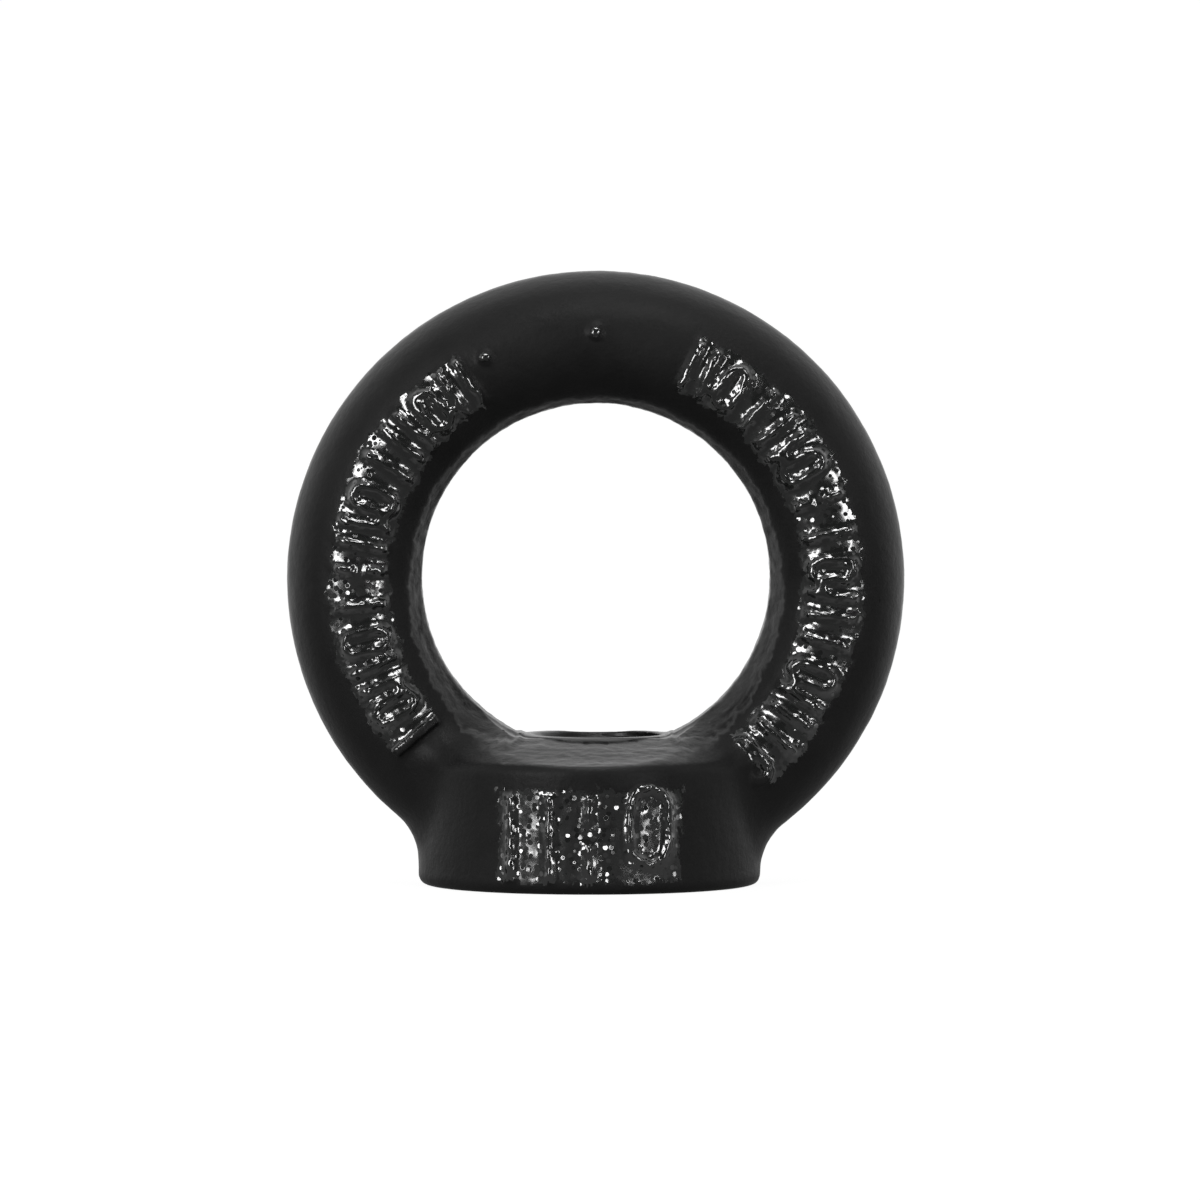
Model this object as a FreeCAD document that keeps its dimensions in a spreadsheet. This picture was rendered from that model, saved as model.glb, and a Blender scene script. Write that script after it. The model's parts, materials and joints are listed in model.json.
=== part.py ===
import FreeCAD, Part
import math
import os

import Sketcher

# Forged lifting eye nut for an M10 stud: a round ring standing on a short tapped collar.
# It is one drop forging, so it is one solid. Millimetres and degrees throughout.
# The origin is the foot of the thread's axis on the base. +Z runs up the thread to the top of the ring,
# and the eye is open along Y.

NODE = "eye_nut"

# Each size that can be set by itself: its name, its value and what it measures.
SIZES = [
    ("ring_diameter", 45.0, "outside of the ring"),
    ("ring_section", 10.2, "diameter of the ring's round section"),
    ("ring_sink", 0.3, "how far the ring's own circle would reach below the base"),
    ("trim_depth", 0.26, "taken off the inside of the round section where the eye was punched"),
    ("eye_rise", 0.2, "eye centre above the ring centre"),
    ("seat_rise", 1.09, "flat seat above the lowest point that a full round eye would have"),
    ("seat_depth", 9.0, "flat seat from front to back"),
    ("mouth_flare", 20.0, "opening angle of the eye's lower walls towards front and back"),
    ("collar_diameter", 25.0, "outside of the collar"),
    ("rim_drop", 1.73, "rim of the collar below the seat"),
    ("collar_shift", 0.45, "collar to the -X side of the thread, left by the dies"),
    ("shoulder_angle", 25.0, "rise of the collar's top from its rim"),
    ("rim_radius", 1.0, "rounding of the collar's rim"),
    ("base_radius", 0.8, "rounding of the collar's bottom edge"),
    ("blend_radius", 4.4, "hollow blend between the ring's legs and the collar"),
    ("bore_diameter", 8.376, "core of the M10 x 1.5 thread"),
    ("countersink_diameter", 11.0, "countersink of the thread at the base"),
    ("mark_relief", 0.45, "raised marks above the metal that carries them"),
    ("mark_stroke", 0.75, "width of a mark's strokes"),
    ("pip_diameter", 1.1, "round marks"),
    ("mark_pitch", 8.7, "turn from one mark on the ring to the next"),
    ("mark_inset", 0.25, "middle of the ring's marks inside the crest of the ring"),
    ("ring_mark_width", 2.2, "widest mark on the ring"),
    ("ring_mark_height", 4.1, "marks on the ring, along its radius"),
    ("collar_mark_width", 3.6, "widest mark on the collar"),
    ("collar_mark_height", 6.2, "marks on the collar"),
    ("collar_mark_drop", 5.1, "middle of the collar's marks below its rim"),
    ("collar_mark_step", 4.4, "from one mark on the collar to the next"),
    ("last_mark_rise", 0.9, "how much higher the last mark on the collar stands"),
]

# Kinds of raised mark in their order round the front of the ring, from its left foot over the top to its
# right foot. A dash is an empty place.
RING_MARKS = """
    bar oval pair oval bar split pair oval bar pair oval pair pip - -
    pip
    - - pair oval bar pair oval split bar oval pair bar oval pair bar oval
""".split()
# Where the top of the ring comes in that order.
TOP_PLACE = 15
# The same for the front of the collar, from left to right.
COLLAR_MARKS = "pair split oval".split()

# How far a cut runs on past the face that it leaves by.
OVERRUN = 1.0
# Two places nearer than this are the same.
SAME = 1e-4

# Sizes that follow from those in the sheet.
COLLAR_RADIUS = "sizes.collar_diameter / 2"
EYE_RADIUS = "(sizes.ring_diameter / 2 - sizes.ring_section + sizes.trim_depth)"
RING_HEIGHT = "(sizes.ring_diameter / 2 - sizes.ring_sink)"
EYE_HEIGHT = f"({RING_HEIGHT} + sizes.eye_rise)"
SEAT_HEIGHT = f"({EYE_HEIGHT} - {EYE_RADIUS} + sizes.seat_rise)"
RIM_HEIGHT = f"({SEAT_HEIGHT} - sizes.rim_drop)"
CONE_HEIGHT = f"({COLLAR_RADIUS} * tan(sizes.shoulder_angle))"
RING_CREST = "((sizes.ring_diameter - sizes.ring_section) / 2)"
RING_MARK_MIDDLE = f"({RING_CREST} - sizes.mark_inset)"
COLLAR_MARK_MIDDLE = f"({RIM_HEIGHT} - sizes.collar_mark_drop)"
# The collar lies back by half the marks' relief, so that front and back reach equally far from the thread.
COLLAR_BACK = "(sizes.mark_relief / 2)"


def make_sheet(doc):
    """The driving sizes, one to a row, each under its own name."""
    sheet = doc.addObject("Spreadsheet::Sheet", "sizes")
    for row, (name, value, meaning) in enumerate(SIZES, start=1):
        sheet.set(f"A{row}", meaning)
        sheet.set(f"B{row}", str(value))
        sheet.setAlias(f"B{row}", name)
    doc.recompute()


def origin_plane(body, role):
    return next(item for item in body.Origin.OriginFeatures if item.Role == role)


def make_sketch(body, name, plane, offset=None):
    """A sketch on one of the body's origin planes. offset gives formulas for its shift along x, y or z."""
    sketch = body.newObject("Sketcher::SketchObject", name)
    sketch.AttachmentSupport = (origin_plane(body, plane), [""])
    sketch.MapMode = "FlatFace"
    for axis, formula in (offset or {}).items():
        sketch.setExpression(f".AttachmentOffset.Base.{axis}", formula)
    return sketch


def worked_out(item, formula):
    """The value that a formula over the sheet has now."""
    return float(item.evalExpression(formula))


def bind(sketch, name, kind, references, formula):
    """Add a named dimension to the sketch and drive it from the sheet."""
    index = sketch.addConstraint(Sketcher.Constraint(kind, *references, worked_out(sketch, formula)))
    sketch.renameConstraint(index, name)
    sketch.setExpression(f"Constraints.{name}", formula)


def from_origin(line, end):
    """References for a dimension from the sketch's origin, which it numbers -1, to one end of a line."""
    return (-1, 1, line, end)


def keep_on_upright_axis(sketch, line, end):
    """Hold a point on the sketch's own upright axis, which it numbers -2."""
    sketch.addConstraint(Sketcher.Constraint("PointOnObject", line, end, -2))


def draw_polygon(sketch, corners):
    """Straight lines through the corners and back to the first. Lines drawn level or upright stay so."""
    lines = []
    for start, end in zip(corners, corners[1:] + corners[:1]):
        segment = Part.LineSegment(FreeCAD.Vector(*start, 0), FreeCAD.Vector(*end, 0))
        lines.append(sketch.addGeometry(segment, False))
        if math.isclose(start[1], end[1]):
            sketch.addConstraint(Sketcher.Constraint("Horizontal", lines[-1]))
        elif math.isclose(start[0], end[0]):
            sketch.addConstraint(Sketcher.Constraint("Vertical", lines[-1]))
    for line, following in zip(lines, lines[1:] + lines[:1]):
        sketch.addConstraint(Sketcher.Constraint("Coincident", line, 2, following, 1))
    return lines


def draw_eye_outline(sketch, radius, chord):
    """A round outline with a level chord across its foot, as wide as the sheet makes it."""
    centre = FreeCAD.Vector(0, worked_out(sketch, EYE_HEIGHT), 0)
    round_radius = worked_out(sketch, radius)
    chord_height = worked_out(sketch, chord)
    turn = math.asin((chord_height - centre.y) / round_radius)
    circle = Part.Circle(centre, FreeCAD.Vector(0, 0, 1), round_radius)
    sketch.addGeometry(Part.ArcOfCircle(circle, turn, math.pi - turn), False)
    right = FreeCAD.Vector(round_radius * math.cos(turn), chord_height, 0)
    left = FreeCAD.Vector(-right.x, chord_height, 0)
    sketch.addGeometry(Part.LineSegment(left, right), False)
    sketch.addConstraint(Sketcher.Constraint("Coincident", 0, 2, 1, 1))
    sketch.addConstraint(Sketcher.Constraint("Coincident", 1, 2, 0, 1))
    sketch.addConstraint(Sketcher.Constraint("Horizontal", 1))
    keep_on_upright_axis(sketch, 0, 3)
    bind(sketch, "centre_height", "DistanceY", from_origin(0, 3), EYE_HEIGHT)
    bind(sketch, "round_radius", "Radius", (0,), radius)
    bind(sketch, "chord_height", "DistanceY", from_origin(1, 1), chord)


def draw_round(sketch, name, diameter, height):
    """A circle on the sketch's upright axis."""
    centre = FreeCAD.Vector(0, worked_out(sketch, height), 0)
    radius = worked_out(sketch, diameter) / 2
    circle = sketch.addGeometry(Part.Circle(centre, FreeCAD.Vector(0, 0, 1), radius), False)
    keep_on_upright_axis(sketch, circle, 3)
    bind(sketch, f"{name}_height", "DistanceY", from_origin(circle, 3), height)
    bind(sketch, f"{name}_diameter", "Diameter", (circle,), diameter)


def draw_bar(sketch, name, width, height, middle, aside="0"):
    """A bar that stands upright in the sketch, its middle at a height and aside from the upright axis."""
    left = f"{aside} - {width} / 2"
    foot = f"{middle} - {height} / 2"
    start = worked_out(sketch, left)
    low = worked_out(sketch, foot)
    end = start + worked_out(sketch, width)
    high = low + worked_out(sketch, height)
    foot_line, right_line, _, _ = draw_polygon(sketch, [(start, low), (end, low), (end, high), (start, high)])
    bind(sketch, f"{name}_left", "DistanceX", from_origin(foot_line, 1), left)
    bind(sketch, f"{name}_foot", "DistanceY", from_origin(foot_line, 1), foot)
    bind(sketch, f"{name}_width", "DistanceX", (foot_line, 1, foot_line, 2), width)
    bind(sketch, f"{name}_height", "DistanceY", (right_line, 1, right_line, 2), height)


def draw_oval(sketch, name, width, height, middle):
    """An upright outline with round ends, its middle at a height on the upright axis."""
    reach = f"({height} - {width}) / 2"
    radius = worked_out(sketch, f"{width} / 2")
    upper = worked_out(sketch, f"{middle} + {reach}")
    lower = worked_out(sketch, f"{middle} - {reach}")
    normal = FreeCAD.Vector(0, 0, 1)
    top = Part.ArcOfCircle(Part.Circle(FreeCAD.Vector(0, upper, 0), normal, radius), 0, math.pi)
    foot = Part.ArcOfCircle(Part.Circle(FreeCAD.Vector(0, lower, 0), normal, radius), math.pi, 2 * math.pi)
    left = Part.LineSegment(FreeCAD.Vector(-radius, upper, 0), FreeCAD.Vector(-radius, lower, 0))
    right = Part.LineSegment(FreeCAD.Vector(radius, lower, 0), FreeCAD.Vector(radius, upper, 0))
    pieces = [sketch.addGeometry(item, False) for item in (top, left, foot, right)]
    for piece, following in zip(pieces, pieces[1:] + pieces[:1]):
        sketch.addConstraint(Sketcher.Constraint("Tangent", piece, 2, following, 1))
    for part, arc, sign in (("top", pieces[0], "+"), ("foot", pieces[2], "-")):
        keep_on_upright_axis(sketch, arc, 3)
        bind(sketch, f"{name}_{part}_radius", "Radius", (arc,), f"{width} / 2")
        bind(sketch, f"{name}_{part}_height", "DistanceY", from_origin(arc, 3), f"{middle} {sign} {reach}")


def draw_mark(sketch, kind, width, height, middle):
    """The outline of one kind of raised mark, upright in the sketch."""
    stroke = "sizes.mark_stroke"
    if kind == "bar":
        draw_bar(sketch, "bar", stroke, height, middle)
    elif kind == "pair":
        aside = f"({width} - {stroke}) / 2"
        draw_bar(sketch, "left", stroke, height, middle, f"-{aside}")
        draw_bar(sketch, "right", stroke, height, middle, aside)
    elif kind == "split":
        piece = f"({height} - {stroke}) / 2"
        shift = f"({height} + {stroke}) / 4"
        draw_bar(sketch, "upper", stroke, piece, f"{middle} + {shift}")
        draw_bar(sketch, "lower", stroke, piece, f"{middle} - {shift}")
    elif kind == "oval":
        draw_oval(sketch, "outer", width, height, middle)
        draw_oval(sketch, "inner", f"({width} - 2 * {stroke})", f"({height} - 2 * {stroke})", middle)
    else:
        draw_round(sketch, "pip", "sizes.pip_diameter", f"{middle} + {height} / 4")


def make_collar(body):
    """A short cylinder with a shallow cone on top, turned about its own shifted axis."""
    place = {"x": "-sizes.collar_shift", "z": f"-{COLLAR_BACK}"}
    sketch = make_sketch(body, "collar_profile", "XZ_Plane", place)
    radius = worked_out(sketch, COLLAR_RADIUS)
    rim = worked_out(sketch, RIM_HEIGHT)
    tip = rim + worked_out(sketch, CONE_HEIGHT)
    draw_polygon(sketch, [(0, 0), (radius, 0), (radius, rim), (0, tip)])
    sketch.addConstraint(Sketcher.Constraint("Coincident", *from_origin(0, 1)))
    bind(sketch, "radius", "DistanceX", (0, 1, 0, 2), COLLAR_RADIUS)
    bind(sketch, "wall", "DistanceY", (1, 1, 1, 2), RIM_HEIGHT)
    bind(sketch, "cone", "DistanceY", (1, 2, 2, 2), CONE_HEIGHT)
    collar = body.newObject("PartDesign::Revolution", "collar")
    collar.Profile = sketch
    collar.ReferenceAxis = (sketch, ["V_Axis"])
    collar.Angle = 360
    return collar


def round_edges(body, name, base, edges, radius):
    """Round the named edges of a feature to a radius from the sheet."""
    rounding = body.newObject("PartDesign::Fillet", name)
    rounding.Base = (base, edges)
    rounding.setExpression("Radius", radius)
    return rounding


def lies_at(edge, height):
    """Whether an edge is level and at a height."""
    box = edge.BoundBox
    return abs(box.ZMin - height) < SAME and abs(box.ZMax - height) < SAME


def edges_at(shape, height):
    """Names of the edges that lie level at a height."""
    return [f"Edge{number}" for number, edge in enumerate(shape.Edges, start=1) if lies_at(edge, height)]


def make_ring(body, section):
    """A round section swept about the eye's axis, its middle on the ring's crest."""
    sketch = make_sketch(body, "ring_section", "YZ_Plane", {"y": RING_HEIGHT})
    draw_round(sketch, "section", section, RING_CREST)
    ring = body.newObject("PartDesign::Revolution", "ring")
    ring.Profile = sketch
    ring.ReferenceAxis = (sketch, ["H_Axis"])
    ring.Angle = 360
    return ring


def make_base_cut(body):
    """Face the foot level, because the ring's underside would stand a little below the collar."""
    sketch = make_sketch(body, "base_plane", "XY_Plane")
    radius = worked_out(sketch, "sizes.ring_diameter")
    sketch.addGeometry(Part.Circle(FreeCAD.Vector(), FreeCAD.Vector(0, 0, 1), radius), False)
    sketch.addConstraint(Sketcher.Constraint("Coincident", *from_origin(0, 3)))
    bind(sketch, "reach", "Radius", (0,), "sizes.ring_diameter")
    cut = body.newObject("PartDesign::Pocket", "base_cut")
    cut.Profile = sketch
    cut.setExpression("Length", "sizes.ring_diameter")
    return cut


def is_ring_face(face):
    """Whether a face belongs to the ring's own round surface, which turns about Y."""
    surface = face.Surface
    return surface.TypeId == "Part::GeomToroid" and surface.Axis.cross(FreeCAD.Vector(0, 1, 0)).Length < SAME


def leg_edges(shape):
    """Names of the edges where the ring's legs run into the collar, above the base."""
    names = []
    for number, edge in enumerate(shape.Edges, start=1):
        sides = [face for face in shape.Faces if any(edge.isSame(other) for other in face.Edges)]
        ring_sides = sum(is_ring_face(face) for face in sides)
        if ring_sides == 1 and len(sides) == 2 and not lies_at(edge, 0):
            names.append(f"Edge{number}")
    return names


def make_eye(body):
    """The punched eye: round, with a flat seat across its foot, straight through."""
    sketch = make_sketch(body, "eye_outline", "XZ_Plane")
    draw_eye_outline(sketch, EYE_RADIUS, SEAT_HEIGHT)
    eye = body.newObject("PartDesign::Pocket", "eye")
    eye.Profile = sketch
    eye.SideType = "Symmetric"
    eye.Type = "ThroughAll"
    return eye


def make_mouth(body):
    """The eye's lower mouth: the seat falls to the collar's rim and the walls open towards the front."""
    run = "((sizes.collar_diameter - sizes.seat_depth) / 2)"
    reach = f"({run} + {OVERRUN})"
    wide = f"{EYE_RADIUS} + {reach} * tan(sizes.mouth_flare)"
    low = f"{SEAT_HEIGHT} - sizes.rim_drop * {reach} / {run}"
    inner = make_sketch(body, "mouth_inner", "XZ_Plane", {"z": "sizes.seat_depth / 2"})
    draw_eye_outline(inner, EYE_RADIUS, SEAT_HEIGHT)
    outer = make_sketch(body, "mouth_outer", "XZ_Plane", {"z": f"{COLLAR_RADIUS} + {OVERRUN}"})
    draw_eye_outline(outer, wide, low)
    mouth = body.newObject("PartDesign::SubtractiveLoft", "mouth")
    mouth.Profile = inner
    mouth.Sections = [outer]
    mouth.Ruled = True
    return mouth


def mirror_to_back(body, feature):
    """The same cut on the back of the eye."""
    mirrored = body.newObject("PartDesign::Mirrored", "mouth_back")
    mirrored.Originals = [feature]
    mirrored.MirrorPlane = (origin_plane(body, "XZ_Plane"), [""])
    body.Tip = mirrored
    return mirrored


def make_thread_bore(body):
    """The core of the thread, from a 45 degree countersink at the base up through the seat."""
    core = "sizes.bore_diameter / 2"
    wide = f"(sizes.countersink_diameter / 2 + {OVERRUN})"
    slope = f"({wide} - {core})"
    top = f"({SEAT_HEIGHT} + {OVERRUN})"
    sketch = make_sketch(body, "bore_profile", "XZ_Plane")
    radius = worked_out(sketch, core)
    mouth = worked_out(sketch, wide)
    height = worked_out(sketch, top)
    foot = mouth - radius - OVERRUN
    draw_polygon(sketch, [(0, -OVERRUN), (mouth, -OVERRUN), (radius, foot), (radius, height), (0, height)])
    keep_on_upright_axis(sketch, 0, 1)
    bind(sketch, "start", "DistanceY", from_origin(0, 1), f"-{OVERRUN}")
    bind(sketch, "mouth", "DistanceX", (0, 1, 0, 2), wide)
    bind(sketch, "slope", "DistanceY", (1, 1, 1, 2), slope)
    bind(sketch, "core", "DistanceX", (3, 2, 3, 1), core)
    bind(sketch, "top", "DistanceY", from_origin(3, 1), top)
    bore = body.newObject("PartDesign::Groove", "thread_bore")
    bore.Profile = sketch
    bore.ReferenceAxis = (sketch, ["V_Axis"])
    bore.Angle = 360
    return bore


def raise_mark(body, sketch, height):
    """Grow a mark's outline forward from the middle plane until it stands clear of the metal."""
    mark = body.newObject("PartDesign::Pad", f"{sketch.Name}_pad")
    mark.Profile = sketch
    mark.setExpression("Length", height)
    return mark


def combine(doc, body, name, kind, others):
    """Combine a body with other bodies: Common keeps what they share, Fuse keeps all."""
    doc.recompute()
    combined = body.newObject("PartDesign::Boolean", name)
    combined.Type = kind
    combined.setObjects(others)
    body.Tip = combined


def make_ring_marks(doc):
    """The ring's raised marks: one of each kind, repeated about the eye's axis at its places in the order."""
    crown = doc.addObject("PartDesign::Body", "ring_crown")
    make_ring(crown, "(sizes.ring_section + 2 * sizes.mark_relief)")
    body = doc.addObject("PartDesign::Body", "ring_marks")
    pitch = worked_out(body, "sizes.mark_pitch")
    for kind in sorted(set(RING_MARKS) - {"-"}):
        places = [place for place, name in enumerate(RING_MARKS) if name == kind]
        sketch = make_sketch(body, f"ring_{kind}", "XZ_Plane", {"y": RING_HEIGHT})
        turn = f"({TOP_PLACE} - {places[0]}) * sizes.mark_pitch"
        sketch.setExpression(".AttachmentOffset.Rotation.Angle", turn)
        draw_mark(sketch, kind, "sizes.ring_mark_width", "sizes.ring_mark_height", RING_MARK_MIDDLE)
        mark = raise_mark(body, sketch, "sizes.ring_section")
        pattern = body.newObject("PartDesign::PolarPattern", f"ring_{kind}_pattern")
        pattern.Originals = [mark]
        pattern.Axis = (sketch, ["N_Axis"])
        pattern.Reversed = True
        pattern.Mode = "Spacing"
        pattern.Occurrences = len(places)
        pattern.Spacings = [(later - place) * pitch for place, later in zip(places, places[1:])]
        body.Tip = pattern
    combine(doc, body, "ring_marks_cut", "Common", [crown])
    return body


def make_collar_marks(doc):
    """The collar's raised marks, side by side on its front."""
    crown = doc.addObject("PartDesign::Body", "collar_crown")
    outline = make_sketch(crown, "collar_outline", "XY_Plane", {"x": "-sizes.collar_shift", "y": COLLAR_BACK})
    draw_round(outline, "crown", "(sizes.collar_diameter + 2 * sizes.mark_relief)", "0")
    wall = crown.newObject("PartDesign::Pad", "collar_wall")
    wall.Profile = outline
    wall.setExpression("Length", RIM_HEIGHT)
    body = doc.addObject("PartDesign::Body", "collar_marks")
    for number, kind in enumerate(COLLAR_MARKS):
        last = number == len(COLLAR_MARKS) - 1
        middle = f"({COLLAR_MARK_MIDDLE} + sizes.last_mark_rise)" if last else COLLAR_MARK_MIDDLE
        steps = number - (len(COLLAR_MARKS) - 1) / 2
        place = {"x": f"{steps} * sizes.collar_mark_step - sizes.collar_shift"}
        sketch = make_sketch(body, f"collar_{kind}", "XZ_Plane", place)
        draw_mark(sketch, kind, "sizes.collar_mark_width", "sizes.collar_mark_height", middle)
        raise_mark(body, sketch, "sizes.collar_diameter")
    combine(doc, body, "collar_marks_cut", "Common", [crown])
    return body


def make_body(doc):
    """The forging, then what was trimmed and cut out of it."""
    body = doc.addObject("PartDesign::Body", NODE)
    body.Label = NODE
    collar = make_collar(body)
    doc.recompute()
    foot = round_edges(body, "base_round", collar, edges_at(collar.Shape, 0), "sizes.base_radius")
    doc.recompute()
    rim = edges_at(foot.Shape, worked_out(body, RIM_HEIGHT))
    round_edges(body, "rim_round", foot, rim, "sizes.rim_radius")
    make_ring(body, "sizes.ring_section")
    forging = make_base_cut(body)
    doc.recompute()
    round_edges(body, "leg_blend", forging, leg_edges(forging.Shape), "sizes.blend_radius")
    combine(doc, body, "marks", "Fuse", [make_ring_marks(doc), make_collar_marks(doc)])
    make_eye(body)
    mirror_to_back(body, make_mouth(body))
    make_thread_bore(body)
    doc.recompute()
    return body


def check(doc, body):
    """Stop before anything is written if a feature failed or the solid is unsound."""
    for item in doc.Objects:
        if {"Invalid", "Error"} & set(item.State):
            raise RuntimeError(f"{item.Name} failed: {item.State}")
    shape = body.Shape
    if shape.isNull() or not shape.isValid() or len(shape.Solids) != 1:
        raise RuntimeError(f"{body.Label} is not one sound solid")


def main():
    doc = FreeCAD.newDocument("lifting_eye_nut")
    make_sheet(doc)
    body = make_body(doc)
    check(doc, body)
    os.makedirs("parts", exist_ok=True)
    body.Shape.exportStep(f"parts/{body.Label}.step")
    box = body.Shape.optimalBoundingBox(False)
    print(f"{body.Label}: {box.XLength:.2f} x {box.YLength:.2f} x {box.ZLength:.2f} mm")
    print(f"volume {body.Shape.Volume:.0f} mm3, {len(body.Shape.Faces)} faces")


main()
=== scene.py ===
import json
import math

import bpy
import numpy as np
from mathutils import Matrix, Vector


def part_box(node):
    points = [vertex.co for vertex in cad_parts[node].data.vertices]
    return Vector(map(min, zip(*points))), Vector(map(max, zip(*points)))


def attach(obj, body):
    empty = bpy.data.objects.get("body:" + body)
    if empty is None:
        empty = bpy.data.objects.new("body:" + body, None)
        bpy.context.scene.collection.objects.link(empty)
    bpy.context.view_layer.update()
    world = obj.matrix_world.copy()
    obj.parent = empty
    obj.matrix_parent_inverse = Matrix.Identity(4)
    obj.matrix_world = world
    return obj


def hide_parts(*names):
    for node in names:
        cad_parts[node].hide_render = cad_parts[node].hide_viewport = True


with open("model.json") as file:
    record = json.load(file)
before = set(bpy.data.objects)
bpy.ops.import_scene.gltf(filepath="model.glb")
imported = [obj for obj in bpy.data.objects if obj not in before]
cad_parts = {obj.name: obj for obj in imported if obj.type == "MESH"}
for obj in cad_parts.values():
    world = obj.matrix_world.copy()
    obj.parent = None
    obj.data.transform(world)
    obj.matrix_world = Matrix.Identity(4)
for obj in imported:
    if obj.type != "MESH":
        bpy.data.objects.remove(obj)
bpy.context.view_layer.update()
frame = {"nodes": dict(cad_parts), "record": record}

# A forged lifting eye nut with a thin black coating. Lengths are in metres, written as millimetres times MM.
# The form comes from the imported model. Here it gets the turns of its thread, soft edges on the raised marks,
# the unevenness of a forging, the torn rim where the eye was punched, and its finish.

MM = 0.001
NODE = "eye_nut"
BODY = "root"
_, BOX_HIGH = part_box(NODE)
MOUNTS = {mount["name"]: mount for mount in frame["record"]["mounts"]}

# The ring, whose axis is along Y, and the outer flank of it where the flash was trimmed.
RING_RADIUS = 22.5 * MM
SECTION_RADIUS = 5.1 * MM
CREST_RADIUS = RING_RADIUS - SECTION_RADIUS
RING_HEIGHT = BOX_HIGH.z - RING_RADIUS
FLANK_START = 20.9 * MM
FLANK_END = 22.0 * MM

# The punched eye and the seat across its foot, which falls to the collar's rim in front and behind.
EYE_HEIGHT = RING_HEIGHT + 0.2 * MM
EYE_RADIUS = 12.56 * MM
SEAT_HEIGHT = 10.93 * MM
SEAT_DEPTH = 9.0 * MM
SEAT_HALF_WIDTH = 7.4 * MM
SEAT_WIDENING = 0.25
RIM_DROP = 1.73 * MM
LIP_START = 10.0 * MM
LIP_END = 11.3 * MM
SLOPE_FADE = (12.2 * MM, 12.45 * MM)

# The torn rim round the eye. Its width is in millimetres: beside the eye, less at the top, more at the foot.
# Its edge wanders by a share of that width.
TORN_WIDTH = 0.95
TORN_LESS_AT_TOP = 0.3
TORN_MORE_AT_FOOT = 1.3
TORN_WANDER = 0.22
TORN_DEPTH = 0.2 * MM

# The collar, whose upright axis lies a little to the left of the thread and behind it.
MARK_RELIEF = 0.45 * MM
COLLAR_RADIUS = 12.5 * MM
COLLAR_SHIFT = 0.45 * MM
COLLAR_BACK = MARK_RELIEF / 2
COLLAR_WALL = 9.2 * MM

# The raised marks on the ring and the collar. Turns are in degrees, from the ring's right and up over its
# top. The foot of a mark is the range of height in which the surface goes over from the skin to the mark.
RING_MARK_RADIUS = 17.15 * MM
RING_MARK_HEIGHT = 4.1 * MM
RING_MARK_START = -44
RING_MARK_END = 217
COLLAR_MARKS_HALF = 7 * MM
MARK_FOOT = (0.04 * MM, 0.2 * MM)

# The coating that pooled round the marks: on the ring in two bands that start either side of its top and end
# at the feet of its legs, each in degrees from the top, and on the collar in one area.
POOL_MARGIN = 0.2 * MM
POOL_WANDER = 0.35 * MM
POOL_SHIFT = 4.4
POOL_TOP = (26, 29)
POOL_FOOT = (133, 136)
COLLAR_POOL_HALF = 6.6 * MM
COLLAR_POOL_LOW = 0.9 * MM
COLLAR_POOL_HIGH = 7.5 * MM

# The thread.
CORE_RADIUS = MOUNTS["thread"]["dims"]["r_mm"] * MM
THREAD_RADIUS = 5.0 * MM
PITCH = 1.5 * MM
THREAD_SLANT = math.radians(30)
TAP_STEPS = 72
COUNTERSINK_RADIUS = 5.5 * MM

# The mesh of the finished nut.
VOXEL = 0.15 * MM
TRIANGLES = 190_000
SMOOTHING = 2
MARK_SMOOTHING = 45

# The nut's three finishes, in the order of its material slots.
SKIN_FINISH = 0
THREAD_FINISH = 1
MARK_FINISH = 2

# The colours of the coating, each from its darkest patches to its lightest.
SKIN_COLOURS = ((0.006, 0.0074, 0.0068, 1), (0.018, 0.0206, 0.0186, 1))
# Bare metal in the streaks. The light end of this colour also gives the painted highlight along the lip of the
# slopes.
BARE_AND_HIGHLIGHT_COLOURS = ((0.008, 0.0084, 0.008, 1), (0.06, 0.06, 0.057, 1))
MARK_COLOURS = ((0.006, 0.0067, 0.0063, 1), (0.009, 0.0100, 0.0095, 1))
THREAD_COLOURS = ((0.012, 0.012, 0.012, 1), (0.022, 0.022, 0.021, 1))

# The light: a bright room behind the nut and a dim one before it, with three strip lamps. Each lamp has its
# place from the middle of the ring, its level, its width and its height.
WHITE = (1, 1, 1, 1)
LAMPS = [
    ("left_lamp", (-0.36, -0.53, 0.12), 0.34, 0.12, 0.42),
    ("top_lamp", (0.05, -0.31, 0.53), 0.17, 0.24, 0.09),
    ("right_lamp", (0.34, -0.51, 0.05), 0.16, 0.08, 0.28),
]
ROOM_FRONT = 0.03
ROOM_BACK = 0.95
FLOOR_SIZE = 40
FLOOR_COLOUR = (0.12, 0.12, 0.12, 1)
FLOOR_GLOW = 0.95

# The camera: the middle of the ring in the photograph, its scale there, and how far the view looks down.
IMAGE = 1200
RING_CENTRE_PX = (595.8, 579.3)
PX_PER_MM = 13.75
CAMERA_DISTANCE = 1.0
LOOK_DOWN = math.radians(2.75)
SENSOR = 36


# Tools for meshes.

def only(piece):
    """Select this object alone."""
    bpy.ops.object.select_all(action="DESELECT")
    piece.select_set(True)
    bpy.context.view_layer.objects.active = piece


def modify(piece, kind, **settings):
    """Add a modifier with these settings and apply it."""
    only(piece)
    modifier = piece.modifiers.new(kind.lower(), kind)
    for name, value in settings.items():
        setattr(modifier, name, value)
    bpy.ops.object.modifier_apply(modifier=modifier.name)


def points_of(piece):
    """The mesh's points, one to a row."""
    points = np.empty(3 * len(piece.data.vertices), np.float32)
    piece.data.vertices.foreach_get("co", points)
    return points.reshape(-1, 3).astype(float)


def add_group(piece, name, weights):
    """A vertex group with a weight for each point."""
    group = piece.vertex_groups.new(name=name)
    for index in np.flatnonzero(weights > 0.01):
        group.add([int(index)], float(weights[index]), "REPLACE")
    return group.name


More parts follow.
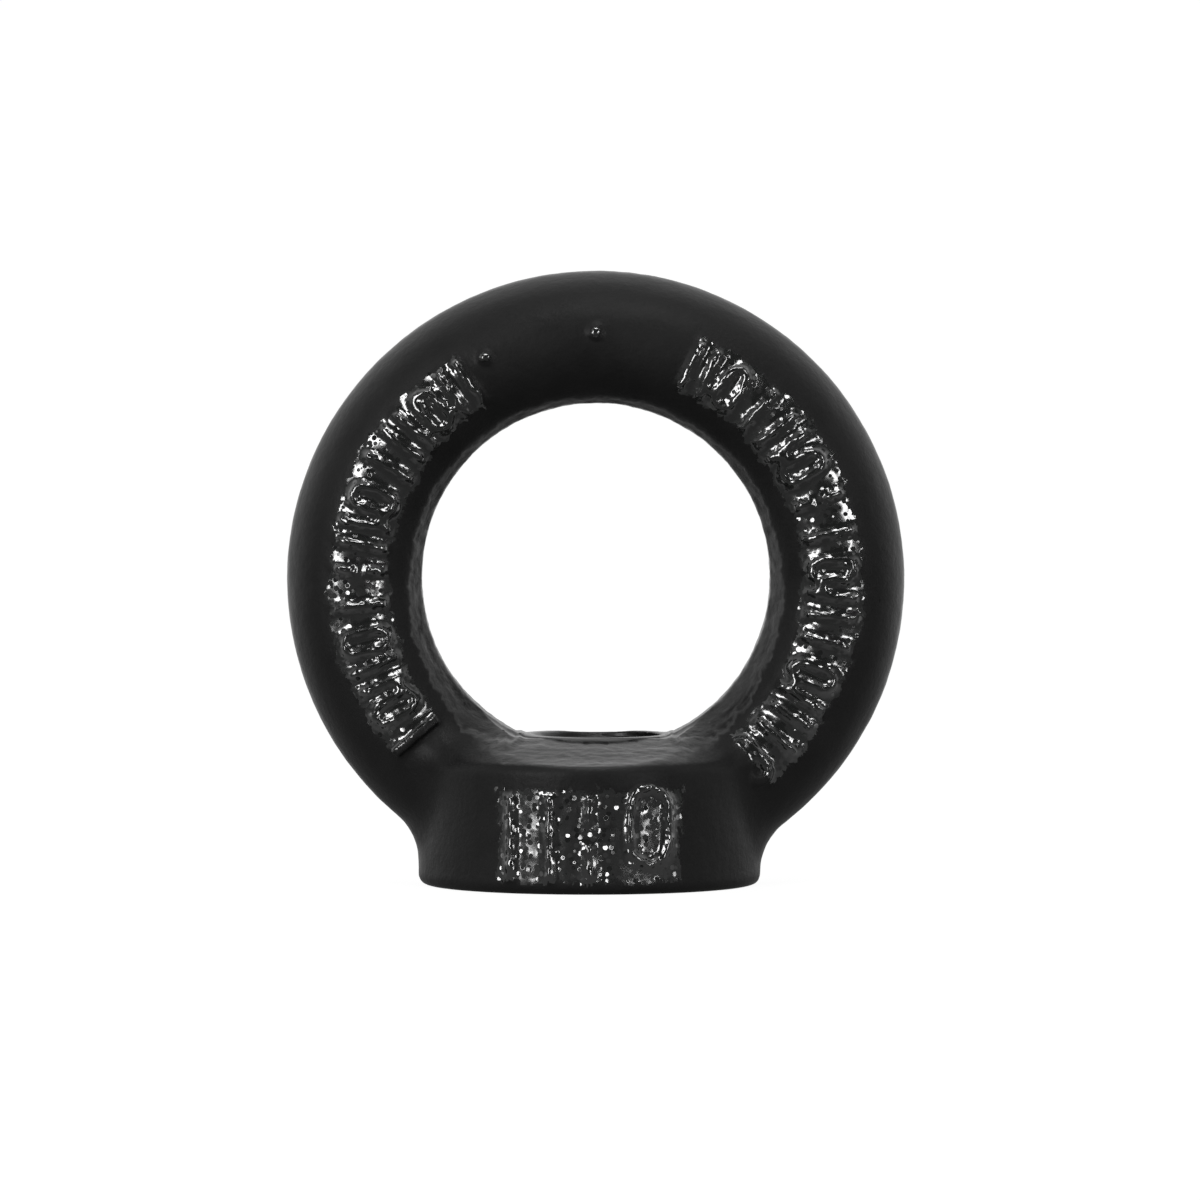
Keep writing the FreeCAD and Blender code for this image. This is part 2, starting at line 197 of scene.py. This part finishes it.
def add_values(piece, name, values):
    """Keep a value for each point of the mesh, for the materials to read."""
    attribute = piece.data.attributes.new(name, "FLOAT", "POINT")
    attribute.data.foreach_set("value", values.astype(np.float32))


def press_in(piece, name, weights, depth, size, detail=1):
    """Press the surface in with cloudy lumps of a size, by up to a depth, where the weights say."""
    texture = bpy.data.textures.new(name, "CLOUDS")
    texture.noise_scale = size
    texture.noise_depth = detail
    group = add_group(piece, name, weights)
    modify(piece, "DISPLACE", texture=texture, texture_coords="LOCAL", strength=depth, mid_level=1,
           vertex_group=group)


# Where each kind of surface is on the nut, told from the points of its mesh.

def ramp(values, start, end):
    """0 up to start, 1 from end on, and smooth between them."""
    share = np.clip((values - start) / (end - start), 0, 1)
    return share * share * (3 - 2 * share)


def ragged(turn, side):
    """An uneven line round the eye, between about -1 and 1, different on each side."""
    shift = np.where(side > 0, 2.0, 0.0)
    waves = ((9, 0.35), (23, 0.3), (47, 0.25), (101, 0.2), (173, 0.15))
    return sum(share * np.sin(count * turn + count + shift) for count, share in waves)


def from_ring_axis(points):
    """Distance out from the ring's axis."""
    x, _, z = points.T
    return np.hypot(x, z - RING_HEIGHT)


def from_collar_axis(points):
    """Distance out from the collar's upright axis."""
    x, y, _ = points.T
    return np.hypot(x + COLLAR_SHIFT, y - COLLAR_BACK)


def mark_share(points):
    """1 on the raised marks and 0 off them, told by their height over the ring or the collar."""
    x, y, z = points.T
    out = from_ring_axis(points)
    turn = (np.degrees(np.arctan2(z - RING_HEIGHT, x)) - RING_MARK_START) % 360
    over_ring = np.hypot(out - CREST_RADIUS, y) - SECTION_RADIUS
    in_band = np.abs(out - RING_MARK_RADIUS) < RING_MARK_HEIGHT / 2 + MARK_RELIEF
    on_ring = in_band & (turn < RING_MARK_END - RING_MARK_START) & (y < 0)
    over_collar = from_collar_axis(points) - COLLAR_RADIUS
    on_collar = (np.abs(x + COLLAR_SHIFT) < COLLAR_MARKS_HALF) & (y < 0) & (z < COLLAR_WALL)
    heights = np.maximum(np.where(on_ring, over_ring, 0), np.where(on_collar, over_collar, 0))
    return ramp(heights, *MARK_FOOT)


def pooled_share(points):
    """1 where the coating pooled round the marks, with uneven edges, and 0 off it."""
    x, y, z = points.T
    turn = np.arctan2(z - RING_HEIGHT, x)
    from_top = np.degrees(np.arctan2(x, z - RING_HEIGHT))
    half = RING_MARK_HEIGHT / 2 + POOL_MARGIN + POOL_WANDER * ragged(turn, y)
    across = 1 - ramp(np.abs(from_ring_axis(points) - RING_MARK_RADIUS), half - 0.1 * MM, half)
    below_top = ramp(np.abs(from_top + POOL_SHIFT), *POOL_TOP)
    along = below_top * (1 - ramp(np.abs(from_top - POOL_SHIFT), *POOL_FOOT))
    edge = POOL_WANDER * ragged(4 * turn, y)
    beside = np.abs(x + COLLAR_SHIFT) + edge < COLLAR_POOL_HALF
    on_collar = beside & (z + edge > COLLAR_POOL_LOW) & (z + edge < COLLAR_POOL_HIGH)
    return np.maximum(across * along, on_collar) * (y < 0)


def flank_share(points):
    """1 on the outer flank of the ring, where the flash was trimmed, and 0 off it."""
    above_collar = ramp(points[:, 2], COLLAR_WALL, COLLAR_WALL + 2 * MM)
    return ramp(from_ring_axis(points), FLANK_START, FLANK_END) * above_collar


def eye_place(points):
    """Distance out from the punched wall, and the turn about the eye's axis."""
    x, _, z = points.T
    return np.hypot(x, z - EYE_HEIGHT) - EYE_RADIUS, np.arctan2(z - EYE_HEIGHT, x)


def trim_width(points):
    """Width of the torn rim round the eye: narrow at the top, wide towards the seat, with a ragged edge."""
    _, turn = eye_place(points)
    rise = np.sin(turn)
    upper = TORN_WIDTH - TORN_LESS_AT_TOP * rise
    lower = TORN_WIDTH + TORN_MORE_AT_FOOT * np.abs(rise) ** 1.5
    return np.where(rise > 0, upper, lower) * MM * (1 + TORN_WANDER * ragged(turn, points[:, 1]))


def trim_share(points):
    """1 on the torn rim and the punched wall, and 0 off them."""
    reach, _ = eye_place(points)
    width = trim_width(points)
    above_lip = ramp(points[:, 2], COLLAR_WALL, COLLAR_WALL + 0.4 * MM)
    return (1 - ramp(reach, width - 0.35 * MM, width + 0.1 * MM)) * above_lip


def trim_depth(points):
    """How deep the tear cuts into the round section: the height of the arc over a straight chord."""
    place = np.arctan2(np.abs(points[:, 1]), CREST_RADIUS - from_ring_axis(points))
    start = math.acos((CREST_RADIUS - EYE_RADIUS) / SECTION_RADIUS)
    end = np.arccos(np.clip((CREST_RADIUS - EYE_RADIUS - trim_width(points)) / SECTION_RADIUS, -1, 1))
    middle = (start + end) / 2
    half = (end - start) / 2
    chord = SECTION_RADIUS * np.cos(half) / np.cos(place - middle)
    return np.where(np.abs(place - middle) < half, SECTION_RADIUS - chord, 0)


def seat_share(points):
    """1 on the seat and its two slopes, and 0 off them."""
    x, y, z = points.T
    run = COLLAR_RADIUS - SEAT_DEPTH / 2
    fall = RIM_DROP * np.clip((np.abs(y) - SEAT_DEPTH / 2) / run, 0, 1)
    half = SEAT_HALF_WIDTH + SEAT_WIDENING * (np.abs(y) - SEAT_DEPTH / 2)
    near = 1 - ramp(np.abs(z - SEAT_HEIGHT + fall), 0.12 * MM, 0.3 * MM)
    between_legs = 1 - ramp(np.abs(x), half, half + 0.6 * MM)
    return near * between_legs * (1 - ramp(from_collar_axis(points), *SLOPE_FADE))


def lip_share(points):
    """1 along the outer edge of the slopes, where they meet the collar's wall, and 0 further in."""
    return ramp(from_collar_axis(points), LIP_START, LIP_END)


def cut_share(points):
    """1 on the base, the countersink and the thread, which are cut clean, and 0 on the forged skin."""
    x, y, z = points.T
    in_bore = np.hypot(x, y) < COUNTERSINK_RADIUS + 0.2 * MM
    return np.maximum(1 - ramp(z, 0.1 * MM, 0.6 * MM), np.where(in_bore & (z < SEAT_HEIGHT + 0.2 * MM), 1, 0))


# The nut.

def make_tap():
    """The cutter for the thread: the groove's profile wound up the bore, its inner edge in the open core."""
    reach = 0.25 * MM
    root_half = PITCH / 16
    inner_half = root_half + (THREAD_RADIUS - CORE_RADIUS + reach) * math.tan(THREAD_SLANT)
    inner = CORE_RADIUS - reach
    middle = (inner + THREAD_RADIUS) / 2
    turns = math.ceil((SEAT_HEIGHT + 2 * PITCH) / PITCH)
    bpy.ops.mesh.primitive_plane_add(size=1, location=(middle, 0, -PITCH), rotation=(math.pi / 2, 0, 0))
    tap = bpy.context.object
    tap.name = "tap"
    tap.scale = (THREAD_RADIUS - inner, 2 * inner_half, 1)
    bpy.ops.object.transform_apply(location=True, rotation=True, scale=True)
    for vertex in tap.data.vertices:
        if vertex.co.x > middle:
            vertex.co.z = -PITCH + math.copysign(root_half, vertex.co.z + PITCH)
    modify(tap, "SCREW", axis="Z", angle=2 * math.pi, screw_offset=PITCH, iterations=turns,
           steps=TAP_STEPS, render_steps=TAP_STEPS, use_smooth_shade=False)
    bpy.ops.object.mode_set(mode="EDIT")
    bpy.ops.mesh.select_all(action="DESELECT")
    bpy.ops.mesh.select_mode(type="EDGE")
    bpy.ops.mesh.select_non_manifold(extend=False)
    bpy.ops.mesh.fill()
    bpy.ops.mesh.select_all(action="SELECT")
    bpy.ops.mesh.normals_make_consistent(inside=False)
    bpy.ops.object.mode_set(mode="OBJECT")
    return tap


def copy_of_node():
    """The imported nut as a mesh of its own, with its loose triangles joined up."""
    source = frame["nodes"][NODE]
    nut = source.copy()
    nut.data = source.data.copy()
    nut.name = "forged_nut"
    nut.parent = None
    for key in list(nut.keys()):
        del nut[key]
    bpy.context.scene.collection.objects.link(nut)
    only(nut)
    bpy.ops.object.mode_set(mode="EDIT")
    bpy.ops.mesh.select_all(action="SELECT")
    bpy.ops.mesh.remove_doubles(threshold=0.0001 * MM)
    bpy.ops.object.mode_set(mode="OBJECT")
    return nut


def wear(nut):
    """The forging's uneven skin, the lumpy marks, the torn rim of the eye and the pooled coating."""
    points = points_of(nut)
    skin = 1 - cut_share(points)
    press_in(nut, "skin", skin, depth=0.08 * MM, size=6 * MM)
    press_in(nut, "grain", skin, depth=0.04 * MM, size=0.9 * MM, detail=2)
    press_in(nut, "marks", mark_share(points), depth=0.2 * MM, size=0.9 * MM)
    depth = np.minimum(trim_depth(points), TORN_DEPTH) * (1 - seat_share(points))
    torn = add_group(nut, "torn", depth / TORN_DEPTH)
    modify(nut, "DISPLACE", strength=-TORN_DEPTH, mid_level=0, vertex_group=torn)
    press_in(nut, "tears", trim_share(points) * skin, depth=0.1 * MM, size=0.7 * MM, detail=2)
    press_in(nut, "pooled", pooled_share(points), depth=0.04 * MM, size=0.5 * MM)


def make_nut():
    """The nut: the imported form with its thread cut, soft edges and wear."""
    nut = copy_of_node()
    tap = make_tap()
    modify(nut, "BOOLEAN", operation="DIFFERENCE", object=tap, solver="EXACT")
    bpy.data.meshes.remove(tap.data)
    modify(nut, "REMESH", mode="VOXEL", voxel_size=VOXEL, use_smooth_shade=True)
    modify(nut, "SMOOTH", factor=0.5, iterations=SMOOTHING)
    soft = add_group(nut, "soft", mark_share(points_of(nut)))
    modify(nut, "SMOOTH", factor=0.5, iterations=MARK_SMOOTHING, vertex_group=soft)
    wear(nut)
    triangles = sum(len(face.vertices) - 2 for face in nut.data.polygons)
    modify(nut, "DECIMATE", ratio=TRIANGLES / triangles)
    nut.vertex_groups.clear()
    only(nut)
    bpy.ops.object.shade_smooth()
    points = points_of(nut)
    seat = seat_share(points)
    add_values(nut, "torn", np.maximum(trim_share(points), 0.4 * flank_share(points)))
    add_values(nut, "seat", seat)
    # The lip of the slopes, kept for the painted highlight there.
    add_values(nut, "lip_highlight", seat * lip_share(points))
    return nut


# Tools for materials.

def feed(tree, socket, value):
    """Link a socket to a value from another node, or set it to a constant."""
    if isinstance(value, bpy.types.NodeSocket):
        tree.links.new(value, socket)
    else:
        socket.default_value = value


def add_node(tree, kind, **values):
    """A node with its sockets set by name, a space in the name written as an underscore."""
    node = tree.nodes.new(kind)
    for name, value in values.items():
        node.inputs[name.replace("_", " ")].default_value = value
    return node


def calculate(tree, operation, first, second=0.0):
    """The result of an operation on one or two values, each a socket or a number."""
    node = tree.nodes.new("ShaderNodeMath")
    node.operation = operation
    feed(tree, node.inputs[0], first)
    feed(tree, node.inputs[1], second)
    return node.outputs[0]


def calculate_vector(tree, operation, first, second=(0, 0, 0)):
    """The result of an operation on vectors, sockets or constants. To scale, the second is a number."""
    node = tree.nodes.new("ShaderNodeVectorMath")
    node.operation = operation
    feed(tree, node.inputs[0], first)
    feed(tree, node.inputs["Scale"] if operation == "SCALE" else node.inputs[1], second)
    return node.outputs[0]


def remap(tree, value, low, high, new_low, new_high):
    """A value stretched from one range to another and kept inside it."""
    node = tree.nodes.new("ShaderNodeMapRange")
    for socket, number in zip(node.inputs[1:5], (low, high, new_low, new_high)):
        socket.default_value = number
    tree.links.new(value, node.inputs[0])
    return node.outputs[0]


def blend(tree, share, first, second):
    """A mix of two colours or two values by a share, each a socket or a constant."""
    node = tree.nodes.new("ShaderNodeMix")
    is_colour = any(isinstance(value, tuple) for value in (first, second))
    node.data_type = "RGBA" if is_colour else "FLOAT"
    sockets = [socket for socket in node.inputs if socket.enabled]
    for socket, value in zip(sockets, (share, first, second)):
        feed(tree, socket, value)
    return next(socket for socket in node.outputs if socket.enabled)


def add_bump(tree, height, strength, distance, normal=None):
    """Bump by a height, on top of an earlier one."""
    node = add_node(tree, "ShaderNodeBump", Distance=distance)
    feed(tree, node.inputs["Height"], height)
    feed(tree, node.inputs["Strength"], strength)
    if normal:
        feed(tree, node.inputs["Normal"], normal)
    return node.outputs["Normal"]


def split_vector(tree, vector):
    """The three parts of a vector."""
    node = tree.nodes.new("ShaderNodeSeparateXYZ")
    tree.links.new(vector, node.inputs[0])
    return node.outputs


def length_of(tree, across, up):
    """The length of a step across and a step up."""
    squares = [calculate(tree, "MULTIPLY", part, part) for part in (across, up)]
    return calculate(tree, "SQRT", calculate(tree, "ADD", *squares))


def new_material(name):
    """A material with its tree, its shader and the point on the object as a vector."""
    material = bpy.data.materials.new(name)
    material.use_nodes = True
    tree = material.node_tree
    shader = tree.nodes["Principled BSDF"]
    place = tree.nodes.new("ShaderNodeTexCoord").outputs["Object"]
    return material, tree, shader, place


def stored(tree, name):
    """The value that the mesh keeps under a name."""
    node = tree.nodes.new("ShaderNodeAttribute")
    node.attribute_name = name
    return node.outputs["Fac"]


def new_group(name, outputs):
    """A shader group that takes a vector and gives values of these names, with its first and last node."""
    group = bpy.data.node_groups.new(name, "ShaderNodeTree")
    group.interface.new_socket("Vector", in_out="INPUT", socket_type="NodeSocketVector")
    for label in outputs:
        group.interface.new_socket(label, in_out="OUTPUT", socket_type="NodeSocketFloat")
    return group, group.nodes.new("NodeGroupInput"), group.nodes.new("NodeGroupOutput")


def use_group(tree, group, vector):
    """The outputs of a shader group that is given this vector."""
    node = tree.nodes.new("ShaderNodeGroup")
    node.node_tree = group
    tree.links.new(vector, node.inputs["Vector"])
    return node.outputs


# The finishes.

def make_grain():
    """Group: the coating's fine grain, and slow patches of more or less sheen."""
    group, start, end = new_group("coating_grain", ("Grain", "Patches"))
    fine = add_node(group, "ShaderNodeTexNoise", Scale=2600, Detail=3, Roughness=0.6)
    slow = add_node(group, "ShaderNodeTexNoise", Scale=300, Detail=3, Roughness=0.55)
    for node, name in ((fine, "Grain"), (slow, "Patches")):
        group.links.new(start.outputs["Vector"], node.inputs["Vector"])
        group.links.new(node.outputs["Fac"], end.inputs[name])
    return group


def make_strokes():
    """Group: scored lines that run along the first axis of the vector they are given."""
    group, start, end = new_group("scored_lines", ("Height", "Streaks"))
    scale = add_node(group, "ShaderNodeMapping", Scale=(0.16, 1, 1))
    group.links.new(start.outputs["Vector"], scale.inputs["Vector"])
    lines = add_node(group, "ShaderNodeTexNoise", Scale=2200, Detail=4, Roughness=0.6)
    broad = add_node(group, "ShaderNodeTexNoise", Scale=700, Detail=2, Roughness=0.5, Distortion=0.4)
    for node in (lines, broad):
        group.links.new(scale.outputs["Vector"], node.inputs["Vector"])
    group.links.new(blend(group, 0.5, lines.outputs["Fac"], broad.outputs["Fac"]), end.inputs["Height"])
    group.links.new(broad.outputs["Fac"], end.inputs["Streaks"])
    return group


def around_eye(tree, place):
    """The point on the object as way round the eye, depth and distance from the eye's axis."""
    x, y, z = split_vector(tree, place)
    up = calculate(tree, "SUBTRACT", z, EYE_HEIGHT)
    way = calculate(tree, "MULTIPLY", calculate(tree, "ARCTAN2", up, x), EYE_RADIUS)
    joined = tree.nodes.new("ShaderNodeCombineXYZ")
    for socket, value in zip(joined.inputs, (way, y, length_of(tree, x, up))):
        tree.links.new(value, socket)
    return joined.outputs[0]


def make_skin_coating(grain, strokes):
    """Black coating: satin on the skin, thin and scored where the metal was torn, with a painted highlight
    along the lip of the slopes.
    """
    material, tree, shader, place = new_material("black_coating")
    shader.inputs["Specular IOR Level"].default_value = 0.3
    torn = stored(tree, "torn")
    seat = stored(tree, "seat")
    lip_highlight = stored(tree, "lip_highlight")
    scored = calculate(tree, "MAXIMUM", torn, seat)
    coat = use_group(tree, grain, place)
    round_lines = use_group(tree, strokes, around_eye(tree, place))
    seat_lines = use_group(tree, strokes, place)
    streaks = blend(tree, seat, round_lines["Streaks"], seat_lines["Streaks"])

    # Colour: the bare metal shows through in streaks. Along the lip of the slopes the colour is lightened
    # further, as a painted highlight.
    share = remap(tree, streaks, 0.35, 0.65, 0, 0.7)
    # Painted highlight: the lip adds to the share of the light colour.
    share = calculate(tree, "ADD", share, calculate(tree, "MULTIPLY", lip_highlight, 0.9))
    skin = blend(tree, coat["Patches"], *SKIN_COLOURS)
    bare_and_highlight = blend(tree, share, *BARE_AND_HIGHLIGHT_COLOURS)
    tree.links.new(blend(tree, scored, skin, bare_and_highlight), shader.inputs["Base Color"])

    # Roughness: smoother where the surface turns away.
    satin = remap(tree, coat["Patches"], 0.3, 0.7, 0.46, 0.54)
    rough = remap(tree, streaks, 0.35, 0.65, 0.32, 0.5)
    facing = tree.nodes.new("ShaderNodeLayerWeight").outputs["Facing"]
    turned_away = remap(tree, facing, 0.7, 1, 0, 1)
    surface = blend(tree, turned_away, blend(tree, scored, satin, rough), 0.26)
    tree.links.new(surface, shader.inputs["Roughness"])

    # Relief: the grain all over, and the scored lines on the torn metal and the seat.
    normal = add_bump(tree, coat["Grain"], 0.8, 0.04 * MM)
    for lines, where, most in ((round_lines, torn, 0.6), (seat_lines, seat, 0.5)):
        strength = calculate(tree, "MULTIPLY", where, most)
        normal = add_bump(tree, lines["Height"], strength, 0.08 * MM, normal)
    tree.links.new(normal, shader.inputs["Normal"])
    return material


def make_thread_coating(grain):
    """The same coating in the thread, thinner and a little glossier over the cut metal."""
    material, tree, shader, place = new_material("thread_coating")
    coat = use_group(tree, grain, place)
    tree.links.new(blend(tree, coat["Patches"], *THREAD_COLOURS), shader.inputs["Base Color"])
    tree.links.new(remap(tree, coat["Patches"], 0.3, 0.7, 0.3, 0.4), shader.inputs["Roughness"])
    tree.links.new(add_bump(tree, coat["Grain"], 0.2, 0.02 * MM), shader.inputs["Normal"])
    return material


def make_mark_coating(grain):
    """The coating on and round the marks, where it pooled: glossy, with dots that each catch the light."""
    material, tree, shader, place = new_material("mark_coating")
    shader.inputs["Specular IOR Level"].default_value = 1.0
    shader.inputs["IOR"].default_value = 1.9
    shader.inputs["Roughness"].default_value = 0.17
    coat = use_group(tree, grain, place)
    tree.links.new(blend(tree, coat["Patches"], *MARK_COLOURS), shader.inputs["Base Color"])

    # How far the dots tilt: most on the outer half of the ring's band and on the collar, and in clusters.
    x, _, z = split_vector(tree, place)
    out = length_of(tree, x, calculate(tree, "SUBTRACT", z, RING_HEIGHT))
    on_ring = remap(tree, out, RING_MARK_RADIUS, RING_MARK_RADIUS + MM, 0.25, 0.6)
    on_collar = remap(tree, z, COLLAR_WALL, COLLAR_WALL + MM, 0.65, 0)
    where = calculate(tree, "MAXIMUM", on_ring, on_collar)
    clusters = remap(tree, coat["Patches"], 0.4, 0.6, 0.6, 1.3)

    # Each dot is a small cell whose normal leans its own way.
    cells = add_node(tree, "ShaderNodeTexVoronoi", Scale=2500)
    tree.links.new(place, cells.inputs["Vector"])
    dots = remap(tree, cells.outputs["Distance"], 0.42, 0.52, 1, 0)
    amount = calculate(tree, "MULTIPLY", dots, calculate(tree, "MULTIPLY", where, clusters))
    tilt = calculate_vector(tree, "SUBTRACT", cells.outputs["Color"], (0.5, 0.5, 0.5))
    tilt = calculate_vector(tree, "SCALE", tilt, amount)
    normal = tree.nodes.new("ShaderNodeNewGeometry").outputs["Normal"]
    normal = calculate_vector(tree, "NORMALIZE", calculate_vector(tree, "ADD", normal, tilt))
    tree.links.new(normal, shader.inputs["Normal"])
    return material


def finish_nut(nut):
    """Give the nut its coating, with its own on the raised marks and in the thread."""
    grain = make_grain()
    nut.data.materials.clear()
    nut.data.materials.append(make_skin_coating(grain, make_strokes()))
    nut.data.materials.append(make_thread_coating(grain))
    nut.data.materials.append(make_mark_coating(grain))
    centres = np.empty(3 * len(nut.data.polygons), np.float32)
    nut.data.polygons.foreach_get("center", centres)
    centres = centres.reshape(-1, 3)
    x, y, z = centres.T
    in_thread = (np.hypot(x, y) < THREAD_RADIUS + 0.15 * MM) & (z < SEAT_HEIGHT - 0.15 * MM)
    pooled = np.maximum(mark_share(centres), pooled_share(centres)) > 0.6
    finish = np.where(in_thread, THREAD_FINISH, np.where(pooled, MARK_FINISH, SKIN_FINISH))
    nut.data.polygons.foreach_set("material_index", finish.astype(np.int32))
    nut.data.update()
    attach(nut, BODY)
    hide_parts(NODE)


# The room.

def add_lamp(name, place, level, width, height):
    """A strip lamp that lights a white surface at the nut to a level, where 1 is white."""
    aim = Vector((0, 0, RING_HEIGHT))
    place = aim + Vector(place)
    bpy.ops.object.light_add(type="AREA", location=place)
    lamp = bpy.context.object
    lamp.name = name
    lamp.rotation_euler = (aim - place).to_track_quat("-Z", "Y").to_euler()
    lamp.data.shape = "RECTANGLE"
    lamp.data.size = width
    lamp.data.size_y = height
    lamp.data.energy = level * math.pi ** 2 * (aim - place).length_squared


def make_world():
    """The room: white to the camera, and otherwise bright behind the nut and dim before it."""
    world = bpy.data.worlds.new("room")
    bpy.context.scene.world = world
    world.use_nodes = True
    tree = world.node_tree
    _, y, _ = split_vector(tree, tree.nodes.new("ShaderNodeTexCoord").outputs["Generated"])
    room = remap(tree, y, -0.6, 0.6, ROOM_FRONT, ROOM_BACK)
    path = tree.nodes.new("ShaderNodeLightPath")
    background = tree.nodes["Background"]
    background.inputs["Color"].default_value = WHITE
    tree.links.new(blend(tree, path.outputs["Is Camera Ray"], room, 1.0), background.inputs["Strength"])


def make_floor():
    """A table that keeps a soft shadow, and is white to the camera and, behind the nut, in reflections."""
    bpy.ops.mesh.primitive_plane_add(size=FLOOR_SIZE)
    floor = bpy.context.object
    floor.name = "floor"
    material, tree, shader, place = new_material("white_floor")
    tree.nodes.remove(shader)
    _, y, _ = split_vector(tree, place)
    behind = remap(tree, y, -0.03, 0.12, 0, 1)
    path = tree.nodes.new("ShaderNodeLightPath")
    mirrored = calculate(tree, "MULTIPLY", path.outputs["Is Glossy Ray"], behind)
    seen = calculate(tree, "MAXIMUM", path.outputs["Is Camera Ray"], mirrored)
    matt = add_node(tree, "ShaderNodeBsdfDiffuse", Color=FLOOR_COLOUR)
    glow = add_node(tree, "ShaderNodeEmission", Color=WHITE)
    tree.links.new(calculate(tree, "MULTIPLY", seen, FLOOR_GLOW), glow.inputs["Strength"])
    both = tree.nodes.new("ShaderNodeAddShader")
    tree.links.new(matt.outputs[0], both.inputs[0])
    tree.links.new(glow.outputs[0], both.inputs[1])
    tree.links.new(both.outputs[0], tree.nodes["Material Output"].inputs["Surface"])
    floor.data.materials.append(material)


def add_camera():
    """The camera, straight before the ring and looking a little down, as in the photograph."""
    back = Vector((0, -math.cos(LOOK_DOWN), math.sin(LOOK_DOWN)))
    right = Vector((1, 0, 0))
    up = back.cross(right)
    across, down = ((IMAGE / 2 - centre) / PX_PER_MM * MM for centre in RING_CENTRE_PX)
    aim = Vector((0, 0, RING_HEIGHT)) + right * across - up * down
    bpy.ops.object.camera_add()
    camera = bpy.context.object
    camera.matrix_world = Matrix((right, up, back)).transposed().to_4x4()
    camera.location = aim + back * CAMERA_DISTANCE
    camera.data.sensor_width = SENSOR
    camera.data.lens = SENSOR * PX_PER_MM / MM * CAMERA_DISTANCE / IMAGE
    bpy.context.scene.camera = camera


finish_nut(make_nut())
for lamp in LAMPS:
    add_lamp(*lamp)
make_world()
make_floor()
add_camera()
bpy.context.scene.view_settings.view_transform = "Standard"
